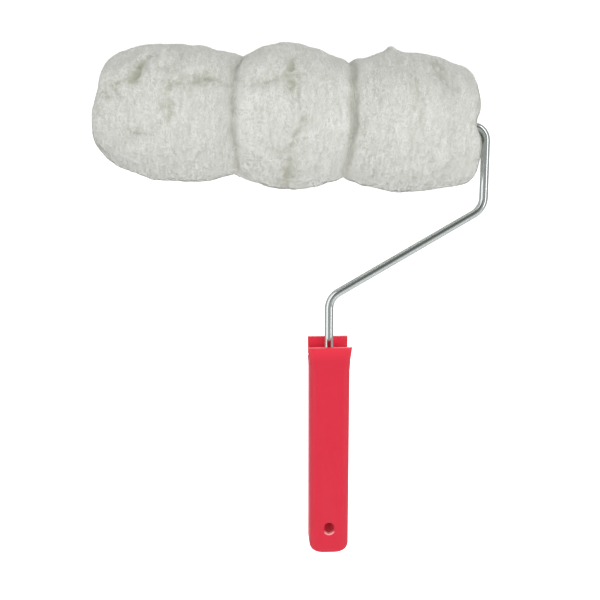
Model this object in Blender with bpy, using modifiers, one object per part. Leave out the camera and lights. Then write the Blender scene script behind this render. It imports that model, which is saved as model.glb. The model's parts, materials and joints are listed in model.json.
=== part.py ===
"""Paint roller: a long-pile sheepskin cover that turns on a bent rod frame with a moulded handle.

Metres, +Z up. The origin is the middle of the grip, on the handle's own axis. +X points along the
axle to the side where the rod comes round, and -Y is the front of the handle.
"""
import math

import bmesh
import bpy
from mathutils import Matrix, Vector

MM = 0.001
GAP = 0.3 * MM                      # kept between pieces that touch on the real roller

# Rod frame
ROD_RADIUS = 3.175 * MM             # quarter-inch rod
RUN_X = 108.7 * MM                  # side run, from the handle's axis
AXLE_HEIGHT = 237.5 * MM            # axle above the origin, over the handle's axis
AXLE_TILT = math.radians(2.6)       # the end bend is a little short of square
LOWER_BEND = Vector((0.0, 0.0, 111.6 * MM))
UPPER_BEND = Vector((RUN_X, 0.0, 175.4 * MM))
ELBOW_RADIUS = 13.5 * MM            # centreline radius of the two lower bends
AXLE_BEND_RADIUS = 10.0 * MM
TANG_END = 10.0 * MM                # height of the rod's lower end, inside the handle
BEND_STEPS = 9

# Cover, measured along the axle from the point over the handle's axis
CORE_RADIUS = 24.0 * MM
CORE_WALL = 2.0 * MM
CORE_ENDS = (-153.0 * MM, 96.0 * MM)
CAP_RECESS = 4.2 * MM
HIDE_THICKNESS = 1.7 * MM
WAISTS = (-63.0 * MM, 11.0 * MM)    # where one skin is sewn to the next
WAIST_RADIUS = 40.0 * MM
PILE_TIPS = (-162.4 * MM, 104.8 * MM)
PILE_PEAKS = (-100.0 * MM, -26.0 * MM, 50.0 * MM)
PILE_RADII = (46.3 * MM, 50.0 * MM, 48.4 * MM)
PILE_MOUTH = 14.0 * MM              # radius left open in each end of the pile

# End stack
CAP_WEB = 2.5 * MM
CAP_SKIRT = 12.0 * MM
CAP_WALL = 2.0 * MM
HUB_RADIUS = 7.5 * MM
HUB_LENGTH = 14.0 * MM
BUSH_RADIUS = 5.0 * MM
BUSH_FLANGE = 1.2 * MM
BUSH_LENGTH = 15.0 * MM
RUNNING_BORE = ROD_RADIUS + 0.35 * MM
WASHER_RADIUS = 7.2 * MM
WASHER_THICKNESS = 1.0 * MM
COLLAR_RADIUS = 6.2 * MM
COLLAR_LENGTH = 4.0 * MM
NUT_RADIUS = 7.0 * MM
NUT_LENGTH = 4.6 * MM
NUT_DOME = 1.4 * MM

# Handle
HANDLE_LENGTH = 160.0 * MM
HANDLE_HALF_WIDTH = 14.6 * MM
HANDLE_HALF_DEPTH = 13.2 * MM
HANDLE_CORNER = 5.5 * MM
HEAD_LENGTH = 20.0 * MM
HEAD_FLARE_X = 1.6 * MM
HEAD_FLARE_Y = 0.8 * MM
HEAD_CORNER = 2.6 * MM
FORK_DEPTH = 13.5 * MM
FORK_HALF_GAP = 11.2 * MM
BACK_LIP_HALF_WIDTH = 14.5 * MM
FRONT_LIP_DROP = 1.9 * MM           # the front lip is the shorter one
BOSS_RADIUS = 6.5 * MM
BOSS_HEIGHT = 5.0 * MM
HEAD_STEPS = 6
END_ROUND = 7.0 * MM
EDGE_ROUND = 3.0 * MM
POLE_SOCKET_RADII = (9.6 * MM, 9.0 * MM)
POLE_SOCKET_DEPTH = 54.0 * MM
HANG_SLOT_HEIGHT = -60.1 * MM
HANG_SLOT_HALF = (3.4 * MM, 4.4 * MM)
HANG_SLOT_CHAMFER = 0.7 * MM

AXLE_AXIS = Vector((math.cos(AXLE_TILT), 0.0, -math.sin(AXLE_TILT)))
AXLE_CENTRE = Vector((0.0, 0.0, AXLE_HEIGHT))
HANDLE_TOP = HANDLE_LENGTH / 2
HANDLE_BOTTOM = -HANDLE_LENGTH / 2
HIDE_INNER = CORE_RADIUS + GAP
HIDE_OUTER = HIDE_INNER + HIDE_THICKNESS
PILE_INNER = HIDE_OUTER + GAP
CAP_FACES = (CORE_ENDS[0] + CAP_RECESS, CORE_ENDS[1] - CAP_RECESS)

RED_PLASTIC = ("red_plastic", (0.72, 0.035, 0.06), 0.38, 0.0)
ZINC_ROD = ("zinc_rod", (0.62, 0.64, 0.62), 0.28, 1.0)
SPRING_STEEL = ("spring_steel", (0.55, 0.55, 0.55), 0.35, 1.0)
WHITE_PLASTIC = ("white_plastic", (0.8, 0.8, 0.77), 0.45, 0.0)
NYLON = ("nylon", (0.86, 0.84, 0.78), 0.4, 0.0)
GREY_TUBE = ("grey_tube", (0.45, 0.45, 0.44), 0.6, 0.0)
HIDE = ("hide", (0.72, 0.64, 0.5), 0.85, 0.0)
WOOL = ("wool", (0.74, 0.73, 0.69), 0.95, 0.0)
THREAD = ("thread", (0.8, 0.78, 0.7), 0.8, 0.0)


def clear_scene():
    for obj in list(bpy.data.objects):
        bpy.data.objects.remove(obj, do_unlink=True)


def new_collection(name):
    collection = bpy.data.collections.new(name)
    bpy.context.scene.collection.children.link(collection)
    return collection


def principled(name, finish):
    _, colour, roughness, metallic = finish
    material = bpy.data.materials.new(name)
    material.use_nodes = True
    shader = material.node_tree.nodes["Principled BSDF"]
    shader.inputs["Base Color"].default_value = (*colour, 1.0)
    shader.inputs["Roughness"].default_value = roughness
    shader.inputs["Metallic"].default_value = metallic
    return material


def add_part(name, data, finish):
    data.materials.clear()
    data.materials.append(principled(name + "_" + finish[0], finish))
    obj = bpy.data.objects.new(name, data)
    PARTS.objects.link(obj)
    return obj


def add_cutter(name, mesh):
    obj = bpy.data.objects.new(name, mesh)
    obj.hide_render = True
    obj.display_type = "WIRE"
    CUTTERS.objects.link(obj)
    return obj


def mesh_from(name, bm):
    bmesh.ops.recalc_face_normals(bm, faces=bm.faces)
    mesh = bpy.data.meshes.new(name)
    bm.to_mesh(mesh)
    bm.free()
    return mesh


def shade_round(mesh, sharp_angle=40.0):
    mesh.shade_smooth()
    mesh.set_sharp_from_angle(angle=math.radians(sharp_angle))


def box_mesh(name, low, high):
    bm = bmesh.new()
    size = Vector(high) - Vector(low)
    centre = (Vector(high) + Vector(low)) / 2
    place = Matrix.Translation(centre) @ Matrix.Diagonal((*size, 1.0))
    bmesh.ops.create_cube(bm, size=1.0, matrix=place)
    return mesh_from(name, bm)


def cone_mesh(name, bottom_radius, top_radius, bottom, top, segments=48):
    bm = bmesh.new()
    bmesh.ops.create_cone(
        bm, cap_ends=True, segments=segments, radius1=bottom_radius, radius2=top_radius,
        depth=top - bottom, matrix=Matrix.Translation((0.0, 0.0, (top + bottom) / 2)),
    )
    return mesh_from(name, bm)


def rounded_section(half_x, half_y, corner, steps=4):
    """Points round a rounded rectangle, anticlockwise from the +X side."""
    corner = min(corner, half_x - 1e-5, half_y - 1e-5)
    centres = ((1, 1), (-1, 1), (-1, -1), (1, -1))
    points = []
    for quarter, (side_x, side_y) in enumerate(centres):
        for step in range(steps + 1):
            angle = math.radians(90.0 * (quarter + step / steps))
            x = side_x * (half_x - corner) + corner * math.cos(angle)
            y = side_y * (half_y - corner) + corner * math.sin(angle)
            points.append((x, y))
    return points


def loft_mesh(name, rings):
    """A closed skin through rings of equal point counts, with a flat cap on each end ring."""
    bm = bmesh.new()
    loops = [[bm.verts.new(point) for point in ring] for ring in rings]
    count = len(loops[0])
    for lower, upper in zip(loops, loops[1:]):
        for i in range(count):
            j = (i + 1) % count
            bm.faces.new((lower[i], lower[j], upper[j], upper[i]))
    bm.faces.new(loops[0])
    bm.faces.new(loops[-1])
    return mesh_from(name, bm)


def cut(obj, cutter, operation="DIFFERENCE"):
    modifier = obj.modifiers.new(cutter.name, "BOOLEAN")
    modifier.operation = operation
    modifier.solver = "EXACT"
    modifier.object = cutter


def turned(name, profile, finish, place, closed=True, steps=36):
    """A turned piece: (radius, height) pairs, down the outer side and up the inner one."""
    mesh = bpy.data.meshes.new(name)
    edges = [(i, i + 1) for i in range(len(profile) - 1)]
    if closed:
        edges.append((len(profile) - 1, 0))
    mesh.from_pydata([(radius, 0.0, height) for radius, height in profile], edges, [])
    obj = add_part(name, mesh, finish)
    screw = obj.modifiers.new("Turn", "SCREW")
    screw.axis = "Z"
    screw.steps = steps
    screw.render_steps = steps
    screw.use_merge_vertices = True
    screw.merge_threshold = 0.00001
    screw.use_smooth_shade = True
    obj.parent = AXLE_EMPTY
    obj.location = (0.0, 0.0, place)
    return obj


def fillet(before, corner, after, radius, steps=BEND_STEPS):
    """Points of the arc that rounds one corner of a route."""
    into = (corner - before).normalized()
    out = (after - corner).normalized()
    turn = into.angle(out)
    tangent = radius * math.tan(turn / 2)
    start = corner - into * tangent
    inward = (out - into * into.dot(out)).normalized()
    centre = start + inward * radius
    points = []
    for step in range(steps + 1):
        angle = turn * step / steps
        points.append(centre - inward * radius * math.cos(angle) + into * radius * math.sin(angle))
    return points


def axle_point(along):
    return AXLE_CENTRE + AXLE_AXIS * along


def rod_route():
    """Centreline from the tang inside the handle, round three bends, to the axle's free end."""
    tang = Vector((0.0, 0.0, TANG_END))
    axle_corner = axle_point(RUN_X / math.cos(AXLE_TILT))
    axle_end = axle_point(AXLE_END)
    route = [tang]
    route += fillet(tang, LOWER_BEND, UPPER_BEND, ELBOW_RADIUS)
    route += fillet(LOWER_BEND, UPPER_BEND, axle_corner, ELBOW_RADIUS)
    route += fillet(UPPER_BEND, axle_corner, axle_end, AXLE_BEND_RADIUS)
    route.append(axle_end)
    return route


def build_frame_rod():
    curve = bpy.data.curves.new("frame_rod", "CURVE")
    curve.dimensions = "3D"
    curve.bevel_depth = ROD_RADIUS
    curve.bevel_resolution = 5
    curve.use_fill_caps = True
    route = rod_route()
    spline = curve.splines.new("POLY")
    spline.points.add(len(route) - 1)
    for point, place in zip(spline.points, route):
        point.co = (*place, 1.0)
    spline.use_smooth = True
    add_part("frame_rod", curve, ZINC_ROD)


def handle_rings():
    """Sections of the handle from its rounded lower end up to the flared head."""
    levels = []
    for degrees in range(0, 91, 15):
        angle = math.radians(degrees)
        height = END_ROUND * (1 - math.cos(angle))
        edge = max(EDGE_ROUND - height, 0.0)
        half_x = HANDLE_HALF_WIDTH - END_ROUND * (1 - math.sin(angle))
        half_y = HANDLE_HALF_DEPTH - EDGE_ROUND + math.sqrt(EDGE_ROUND ** 2 - edge ** 2)
        levels.append((HANDLE_BOTTOM + height, half_x, half_y, HANDLE_CORNER))
    head_bottom = HANDLE_TOP - HEAD_LENGTH
    for step in range(HEAD_STEPS + 1):
        part = step / HEAD_STEPS
        flare = part ** 1.1
        levels.append((
            head_bottom + HEAD_LENGTH * part,
            HANDLE_HALF_WIDTH + HEAD_FLARE_X * flare,
            HANDLE_HALF_DEPTH + HEAD_FLARE_Y * flare,
            HANDLE_CORNER + (HEAD_CORNER - HANDLE_CORNER) * flare,
        ))
    rings = []
    for height, half_x, half_y, corner in levels:
        section = rounded_section(half_x, half_y, corner)
        rings.append([Vector((x, y, height)) for x, y in section])
    return rings


def hang_slot_rings():
    """The hanging slot's tunnel along Y, wider by a chamfer at both faces of the handle."""
    face = HANDLE_HALF_DEPTH
    levels = (
        (-face - 2 * HANG_SLOT_CHAMFER, 3 * HANG_SLOT_CHAMFER),
        (-face + HANG_SLOT_CHAMFER, 0.0),
        (face - HANG_SLOT_CHAMFER, 0.0),
        (face + 2 * HANG_SLOT_CHAMFER, 3 * HANG_SLOT_CHAMFER),
    )
    rings = []
    for depth, spread in levels:
        half_x, half_z = (half + spread for half in HANG_SLOT_HALF)
        section = rounded_section(half_x, half_z, half_x)
        rings.append([Vector((x, depth, z + HANG_SLOT_HEIGHT)) for x, z in section])
    return rings


def build_handle():
    handle = add_part("handle", loft_mesh("handle", handle_rings()), RED_PLASTIC)
    wide = 2 * HANDLE_HALF_WIDTH
    above = HANDLE_TOP + 5 * MM
    floor = HANDLE_TOP - FORK_DEPTH
    cut(handle, add_cutter("fork_gap", box_mesh(
        "fork_gap", (-wide, -FORK_HALF_GAP, floor), (wide, FORK_HALF_GAP, above))))
    for side in (-1, 1):
        near, far = sorted((side * BACK_LIP_HALF_WIDTH, side * wide))
        name = "lip_trim_left" if side < 0 else "lip_trim_right"
        cut(handle, add_cutter(name, box_mesh(
            name, (near, FORK_HALF_GAP - MM, floor), (far, wide, above))))
    cut(handle, add_cutter("front_lip_trim", box_mesh(
        "front_lip_trim", (-wide, -wide, HANDLE_TOP - FRONT_LIP_DROP), (wide, 0.0, above))))
    boss_top = floor + BOSS_HEIGHT
    cut(handle, add_cutter("rod_boss", cone_mesh(
        "rod_boss", BOSS_RADIUS, BOSS_RADIUS, floor - 5 * MM, boss_top)), "UNION")
    bore = ROD_RADIUS + GAP
    cut(handle, add_cutter("rod_bore", cone_mesh(
        "rod_bore", bore, bore, TANG_END - GAP, above)))
    cut(handle, add_cutter("pole_socket", cone_mesh(
        "pole_socket", POLE_SOCKET_RADII[0], POLE_SOCKET_RADII[1],
        HANDLE_BOTTOM - MM, HANDLE_BOTTOM + POLE_SOCKET_DEPTH)))
    cut(handle, add_cutter("hang_slot", loft_mesh("hang_slot", hang_slot_rings())))


def build_core():
    start, end = CORE_ENDS
    inner = CORE_RADIUS - CORE_WALL
    profile = [(CORE_RADIUS, end), (CORE_RADIUS, start), (inner, start), (inner, end)]
    turned("core_tube", profile, GREY_TUBE, 0.0)


def end_side(index):
    """The left end faces -1 along the axle, the right end +1."""
    return -1 if index == 0 else 1


def facing(profile, side):
    """A profile drawn with its outer face up, turned over for the left end."""
    if side > 0:
        return profile
    return [(radius, -height) for radius, height in reversed(profile)]


def build_end_caps():
    skirt = CORE_RADIUS - CORE_WALL - GAP
    bore = BUSH_RADIUS + GAP
    cap = [
        (skirt, 0.0), (skirt, -CAP_SKIRT), (skirt - CAP_WALL, -CAP_SKIRT),
        (skirt - CAP_WALL, -CAP_WEB), (HUB_RADIUS, -CAP_WEB), (HUB_RADIUS, -HUB_LENGTH),
        (bore, -HUB_LENGTH), (bore, 0.0),
    ]
    flange_in = GAP
    flange_out = GAP + BUSH_FLANGE
    bush = [
        (HUB_RADIUS - 0.5 * MM, flange_out), (HUB_RADIUS - 0.5 * MM, flange_in),
        (BUSH_RADIUS, flange_in), (BUSH_RADIUS, -BUSH_LENGTH),
        (RUNNING_BORE, -BUSH_LENGTH), (RUNNING_BORE, flange_out),
    ]
    washer_in = flange_out + GAP
    washer_out = washer_in + WASHER_THICKNESS
    washer = [
        (WASHER_RADIUS, washer_out), (WASHER_RADIUS, washer_in),
        (RUNNING_BORE, washer_in), (RUNNING_BORE, washer_out),
    ]
    for index, end in enumerate(("left", "right")):
        side = end_side(index)
        face = CAP_FACES[index]
        turned("end_cap_" + end, facing(cap, side), WHITE_PLASTIC, face)
        turned("bush_" + end, facing(bush, side), NYLON, face, steps=24)
        turned("washer_" + end, facing(washer, side), SPRING_STEEL, face, steps=24)


def build_axle_stops():
    stack = 3 * GAP + BUSH_FLANGE + WASHER_THICKNESS
    bore = ROD_RADIUS + GAP
    collar = [
        (COLLAR_RADIUS, stack + COLLAR_LENGTH), (COLLAR_RADIUS, stack), (bore, stack),
        (bore, stack + COLLAR_LENGTH),
    ]
    turned("stop_collar", collar, ZINC_ROD, CAP_FACES[1], steps=24)
    top = stack + NUT_LENGTH
    hollow = top - NUT_DOME
    nut = [(0.0, top)]
    for degrees in range(20, 81, 20):
        angle = math.radians(degrees)
        nut.append((NUT_RADIUS * math.sin(angle), top - NUT_DOME * (1 - math.cos(angle))))
    nut += [(NUT_RADIUS, top - NUT_DOME), (NUT_RADIUS, stack), (bore, stack)]
    nut += [(bore, hollow), (0.0, hollow)]
    turned("retaining_nut", facing(nut, -1), SPRING_STEEL, CAP_FACES[0], closed=False, steps=24)


def pile_radius(along, index):
    """Outer radius of one band of pile: swollen in the middle, drawn in at a sewn waist."""
    peak = PILE_PEAKS[index]
    swell = PILE_RADII[index]
    lows = (PILE_TIPS[0], *WAISTS)
    highs = (*WAISTS, PILE_TIPS[1])
    limit = lows[index] if along < peak else highs[index]
    share = min(abs((along - peak) / (limit - peak)), 1.0)
    if limit in PILE_TIPS:
        return swell * (1 - share ** 2.5) ** 0.37
    return WAIST_RADIUS + (swell - WAIST_RADIUS) * (1 - share ** 2.2)


def pile_profile(index, steps=14):
    """Closed half-section of one band, down its outside and back up along the hide."""
    open_left = index == 0
    open_right = index == 2
    tip_share = (1 - (PILE_MOUTH / PILE_RADII[index]) ** (1 / 0.37)) ** (1 / 2.5)
    peak = PILE_PEAKS[index]
    low = peak + (PILE_TIPS[0] - peak) * tip_share if open_left else WAISTS[index - 1] + GAP
    high = peak + (PILE_TIPS[1] - peak) * tip_share if open_right else WAISTS[index] - GAP
    outside = []
    for step in range(steps + 1):
        along = (high + low) / 2 + (high - low) / 2 * math.cos(math.pi * step / steps)
        outside.append((pile_radius(along, index), along))
    relief = 2.3 * MM
    if open_left:
        inside = [(PILE_MOUTH, CORE_ENDS[0] - GAP), (PILE_INNER, CORE_ENDS[0] - GAP)]
    else:
        inside = [(PILE_INNER + relief, low), (PILE_INNER, low + relief)]
    if open_right:
        inside += [(PILE_INNER, CORE_ENDS[1] + GAP), (PILE_MOUTH, CORE_ENDS[1] + GAP)]
    else:
        inside += [(PILE_INNER, high - relief), (PILE_INNER + relief, high)]
    return outside + inside


def build_skins():
    """Three sheepskin bands: the hide closed by a lengthwise butt seam, and its pile."""
    slit = 0.8 * MM
    for index, band in enumerate(("left", "middle", "right")):
        low = CORE_ENDS[0] if index == 0 else WAISTS[index - 1] + 0.4 * MM
        high = CORE_ENDS[1] if index == 2 else WAISTS[index] - 0.4 * MM
        profile = [
            (HIDE_OUTER, high), (HIDE_OUTER, low), (HIDE_INNER, low), (HIDE_INNER, high),
        ]
        hide = turned("hide_" + band, profile, HIDE, 0.0)
        opening = add_cutter("hide_slit_" + band, box_mesh(
            "hide_slit_" + band, (-slit, HIDE_INNER - 2 * MM, low - MM),
            (slit, HIDE_OUTER + 2 * MM, high + MM)))
        opening.parent = AXLE_EMPTY
        cut(hide, opening)
        turned("pile_" + band, pile_profile(index), WOOL, 0.0)
        thread = cone_mesh("butt_seam_" + band, 0.45 * MM, 0.45 * MM, low + MM, high - MM, 12)
        shade_round(thread)
        seam = add_part("butt_seam_" + band, thread, THREAD)
        seam.parent = AXLE_EMPTY
        seam.location = (0.0, (HIDE_INNER + HIDE_OUTER) / 2, 0.0)


def build_waist_seams():
    """The stitched ring that joins one skin to the next, lying over the hides' edges."""
    thread = 0.6 * MM
    for index, name in enumerate(("waist_seam_left", "waist_seam_right")):
        centre = HIDE_OUTER + GAP + thread
        profile = []
        for step in range(8):
            angle = -2 * math.pi * step / 8 + math.pi / 8
            profile.append((centre + thread * math.cos(angle), thread * math.sin(angle)))
        turned(name, profile, THREAD, WAISTS[index])


clear_scene()
PARTS = new_collection("paint_roller")
CUTTERS = new_collection("cutters")
AXLE_END = CAP_FACES[0] - 3 * GAP - BUSH_FLANGE - WASHER_THICKNESS - NUT_LENGTH + NUT_DOME + GAP

AXLE_EMPTY = bpy.data.objects.new("axle_axis", None)
AXLE_EMPTY.location = AXLE_CENTRE
AXLE_EMPTY.rotation_euler = (0.0, math.pi / 2 + AXLE_TILT, 0.0)
PARTS.objects.link(AXLE_EMPTY)

build_frame_rod()
build_handle()
build_core()
build_end_caps()
build_axle_stops()
build_skins()
build_waist_seams()
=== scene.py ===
# %% [markdown]
# # A paint roller with a sheepskin cover
# The engineering model of this roller already has its true sizes, its moving bodies and its
# joints, but every surface on it is plain. This lesson dresses that model: a bent, zinc-plated rod,
# a red moulded handle, the small parts of the bearing, and three swollen bands of wool.
# Everything is placed from the model's own boxes and joints, so nothing has to be fitted by eye.

# %% Load the engineering model
import json
import math

import bmesh
import bpy
import numpy as np
from mathutils import Matrix, Vector


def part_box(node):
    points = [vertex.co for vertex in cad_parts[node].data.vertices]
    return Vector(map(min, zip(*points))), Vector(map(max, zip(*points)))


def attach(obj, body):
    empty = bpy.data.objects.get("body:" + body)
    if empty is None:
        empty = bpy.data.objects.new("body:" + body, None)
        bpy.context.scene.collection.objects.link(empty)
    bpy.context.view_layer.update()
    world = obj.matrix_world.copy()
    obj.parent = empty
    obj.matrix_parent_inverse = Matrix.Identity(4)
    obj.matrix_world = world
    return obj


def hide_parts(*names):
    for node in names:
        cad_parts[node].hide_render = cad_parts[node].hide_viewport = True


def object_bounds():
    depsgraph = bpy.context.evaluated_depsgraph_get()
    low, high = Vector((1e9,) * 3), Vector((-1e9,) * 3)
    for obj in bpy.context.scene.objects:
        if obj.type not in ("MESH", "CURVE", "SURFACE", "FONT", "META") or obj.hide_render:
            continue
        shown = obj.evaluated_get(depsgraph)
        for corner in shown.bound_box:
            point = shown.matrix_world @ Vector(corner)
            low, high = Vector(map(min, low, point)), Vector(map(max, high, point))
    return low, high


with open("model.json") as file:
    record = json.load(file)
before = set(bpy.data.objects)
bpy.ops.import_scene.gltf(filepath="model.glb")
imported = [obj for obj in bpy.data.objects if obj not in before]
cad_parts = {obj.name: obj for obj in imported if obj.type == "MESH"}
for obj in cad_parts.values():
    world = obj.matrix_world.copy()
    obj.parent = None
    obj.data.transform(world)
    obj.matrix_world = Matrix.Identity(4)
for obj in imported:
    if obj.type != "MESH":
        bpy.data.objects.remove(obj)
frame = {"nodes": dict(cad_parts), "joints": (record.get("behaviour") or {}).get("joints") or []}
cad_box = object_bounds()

MM = 0.001
nodes = frame["nodes"]

# %% [markdown]
# ## The axle's own directions
# The axle is not quite level: the rod's last bend is a little short of square. Everything round the
# cover is easier to think of as "so far along the axle, so far out from it, and at this angle
# round it", so the first helper turns those three numbers into a point. The spin joint in the
# record already holds the axle's direction and a point on it.

# %% The axle's directions
spin = next(joint for joint in frame["joints"] if joint["name"] == "roller_spin")
AXLE_CENTRE = np.array(spin["pos_m"])
ALONG = np.array(spin["axis"])
FRONT = np.array((0.0, -1.0, 0.0))
UPWARD = np.cross(FRONT, ALONG)


def round_axle(along, radius, angle):
    """Points at a distance along the axle, a radius, and an angle from the front towards the top."""
    along, radius, angle = np.broadcast_arrays(along, radius, angle)
    outward = np.cos(angle)[..., None] * FRONT + np.sin(angle)[..., None] * UPWARD
    return AXLE_CENTRE + along[..., None] * ALONG + radius[..., None] * outward


def place_on_axle(node):
    """How far along the axle a node reaches, as (nearest to the left, nearest to the right)."""
    mesh = nodes[node].data
    points = np.array([vertex.co for vertex in mesh.vertices])
    along = (points - AXLE_CENTRE) @ ALONG
    return along.min(), along.max()


cover_left, cover_right = place_on_axle("pile_left")[0], place_on_axle("pile_right")[1]
print("the cover reaches from %.1f to %.1f mm along the axle" % (cover_left / MM, cover_right / MM))

# %% [markdown]
# ## Camera
# A hand tool this size is usually shown on its own, from close by and a little above. A short
# distance matters here: it is what makes the near lip of the handle sit lower than the far one.
# The camera looks at a point in the middle of the picture, from an azimuth and an elevation.

# %% Camera
LOOK_AT = Vector((-20.9 * MM, 0.0, 110.3 * MM))
CAMERA_DISTANCE = 0.8
CAMERA_AZIMUTH = math.radians(-3.0)
CAMERA_ELEVATION = math.radians(13.0)
CAMERA_LENS = 67.2

away = Vector((
    math.sin(CAMERA_AZIMUTH) * math.cos(CAMERA_ELEVATION),
    -math.cos(CAMERA_AZIMUTH) * math.cos(CAMERA_ELEVATION),
    math.sin(CAMERA_ELEVATION),
))
camera = bpy.data.objects.new("camera", bpy.data.cameras.new("camera"))
camera.data.lens = CAMERA_LENS
camera.location = LOOK_AT + away * CAMERA_DISTANCE
camera.rotation_euler = away.to_track_quat("Z", "Y").to_euler()
bpy.context.scene.collection.objects.link(camera)
bpy.context.scene.camera = camera
bpy.context.scene.view_settings.view_transform = "Standard"
print("camera at", [round(value, 3) for value in camera.location])

# %% [markdown]
# ## Two helpers for shader nodes
# The room and every finish are trees of shader nodes. Adding a node and filling its inputs is the
# same few steps each time, so two helpers come first. An input takes a value or a link.

# %% Node helpers
def feed(tree, value, socket):
    """Gives a socket a value, or a link if the value is another node's socket."""
    if isinstance(value, bpy.types.NodeSocket):
        tree.links.new(value, socket)
    else:
        socket.default_value = value


def add_node(tree, kind, **inputs):
    """A node of a kind, with values or links for its inputs given by name."""
    node = tree.nodes.new(kind)
    for label, value in inputs.items():
        feed(tree, value, node.inputs[label.replace("_", " ")])
    return node

# %% [markdown]
# ## Floor and light
# White wool on a white ground only reads if the light has a direction. A wide soft box at the left
# and a narrow one at the right do most of the work, and they give the polished rod its two light
# stripes. Two fill lamps, in front and below, soften the shadows but are hidden from the metal. The
# room that the metal mirrors is dark at the camera's end and pale behind, which leaves a dark core
# between pale edges. The floor is far enough below that no shadow shows.

# %% Lamps
def lamp(name, place, aim, width, height, power):
    """A soft box that can't be seen itself, turned to face a point."""
    data = bpy.data.lights.new(name, "AREA")
    data.shape = "RECTANGLE"
    data.size = width
    data.size_y = height
    data.energy = power
    obj = bpy.data.objects.new(name, data)
    obj.location = place
    obj.rotation_euler = (Vector(place) - Vector(aim)).to_track_quat("Z", "Y").to_euler()
    obj.visible_camera = False
    bpy.context.scene.collection.objects.link(obj)
    return obj


cover_middle = (-0.03, 0.0, 0.22)
lamp("left_box", (-0.84, -0.50, 0.32), LOOK_AT, 0.95, 1.2, 4.0)
lamp("right_box", (0.78, -0.60, 0.32), LOOK_AT, 0.26, 1.2, 2.8)
lamp("top_box", (-0.1, -0.3, 1.3), cover_middle, 0.8, 0.8, 1.2)
lamp("back_box", (0.2, 1.0, 0.7), cover_middle, 1.0, 1.0, 4.0)
for name, place, power in (
    ("front_fill", (0.30, -1.25, 0.46), 5.3), ("under_fill", (0.0, 0.40, -0.30), 3.7),
):
    lamp(name, place, cover_middle, 0.7, 0.5, power).visible_glossy = False

# %% Floor
FLOOR_DROP = 0.30
FLOOR_SIZE = 40.0
bpy.ops.mesh.primitive_plane_add(size=FLOOR_SIZE, location=(0, 0, cad_box[0][2] - FLOOR_DROP))
floor = bpy.context.object
floor.name = "floor"

paper = bpy.data.materials.new("floor_paper")
paper.use_nodes = True
paper_shader = paper.node_tree.nodes["Principled BSDF"]
for socket, value in (
    ("Base Color", (0.9, 0.9, 0.9, 1.0)), ("Roughness", 0.9), ("Emission Color", (1.0, 1.0, 1.0, 1.0)),
):
    paper_shader.inputs[socket].default_value = value
paper_rays = add_node(paper.node_tree, "ShaderNodeLightPath")
feed(paper.node_tree, paper_rays.outputs["Is Camera Ray"], paper_shader.inputs["Emission Strength"])
floor.data.materials.append(paper)

# %% The room
ROOM_LIGHT = 0.5
ROOM_DARK_END = 0.15
ROOM_PALE_END = 0.75
SKY_WHITE = 1.05
world = bpy.data.worlds.new("studio")
world.use_nodes = True
bpy.context.scene.world = world
room = world.node_tree
sky = room.nodes["Background"]
sky.inputs["Color"].default_value = (1.0, 1.0, 1.0, 1.0)
rays = add_node(room, "ShaderNodeLightPath")
room_place = add_node(room, "ShaderNodeTexCoord")
room_axes = add_node(room, "ShaderNodeSeparateXYZ", Vector=room_place.outputs["Generated"])
room_depth = add_node(
    room, "ShaderNodeMapRange", Value=room_axes.outputs["Y"], From_Min=-1.0,
    To_Min=ROOM_DARK_END, To_Max=ROOM_PALE_END)
for_mirrors = add_node(
    room, "ShaderNodeMapRange", Value=rays.outputs["Is Glossy Ray"], To_Min=ROOM_LIGHT,
    To_Max=room_depth.outputs["Result"])
for_camera = add_node(
    room, "ShaderNodeMapRange", Value=rays.outputs["Is Camera Ray"],
    To_Min=for_mirrors.outputs["Result"], To_Max=SKY_WHITE)
feed(room, for_camera.outputs["Result"], sky.inputs["Strength"])

# %% [markdown]
# ## Effects that several finishes share
# Nothing made by hand or machine is one flat colour. Plastic drifts a little in tone, metal carries
# fine lines, and everything that is used gets scuffed. Each effect is built once as a node group
# with named inputs, and each finish then uses it with its own values.

# %% Node group helpers
def make_group(name, inputs, outputs):
    """A shader node group with its named sockets, and its two end nodes."""
    group = bpy.data.node_groups.new(name, "ShaderNodeTree")
    for label, kind, value in inputs:
        socket = group.interface.new_socket(name=label, in_out="INPUT", socket_type=kind)
        socket.default_value = value
    for label, kind in outputs:
        group.interface.new_socket(name=label, in_out="OUTPUT", socket_type=kind)
    return group, group.nodes.new("NodeGroupInput"), group.nodes.new("NodeGroupOutput")


def maths(tree, operation, first, second=0.0, third=0.0):
    node = tree.nodes.new("ShaderNodeMath")
    node.operation = operation
    for value, socket in zip((first, second, third), node.inputs):
        feed(tree, value, socket)
    return node.outputs[0]


def blend_colours(tree, share, first, second):
    node = tree.nodes.new("ShaderNodeMix")
    node.data_type = "RGBA"
    feed(tree, share, node.inputs["Factor"])
    feed(tree, first, node.inputs["A"])
    feed(tree, second, node.inputs["B"])
    return node.outputs["Result"]


def stretched_place(tree, stretch):
    """Coordinates on the object, squeezed so that a pattern grows long one way."""
    place = tree.nodes.new("ShaderNodeTexCoord")
    mapping = tree.nodes.new("ShaderNodeMapping")
    tree.links.new(place.outputs["Object"], mapping.inputs["Vector"])
    feed(tree, stretch, mapping.inputs["Scale"])
    return mapping.outputs["Vector"]


# %% Tone drift: slow changes of colour
FLOAT, COLOUR, VECTOR = "NodeSocketFloat", "NodeSocketColor", "NodeSocketVector"

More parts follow.
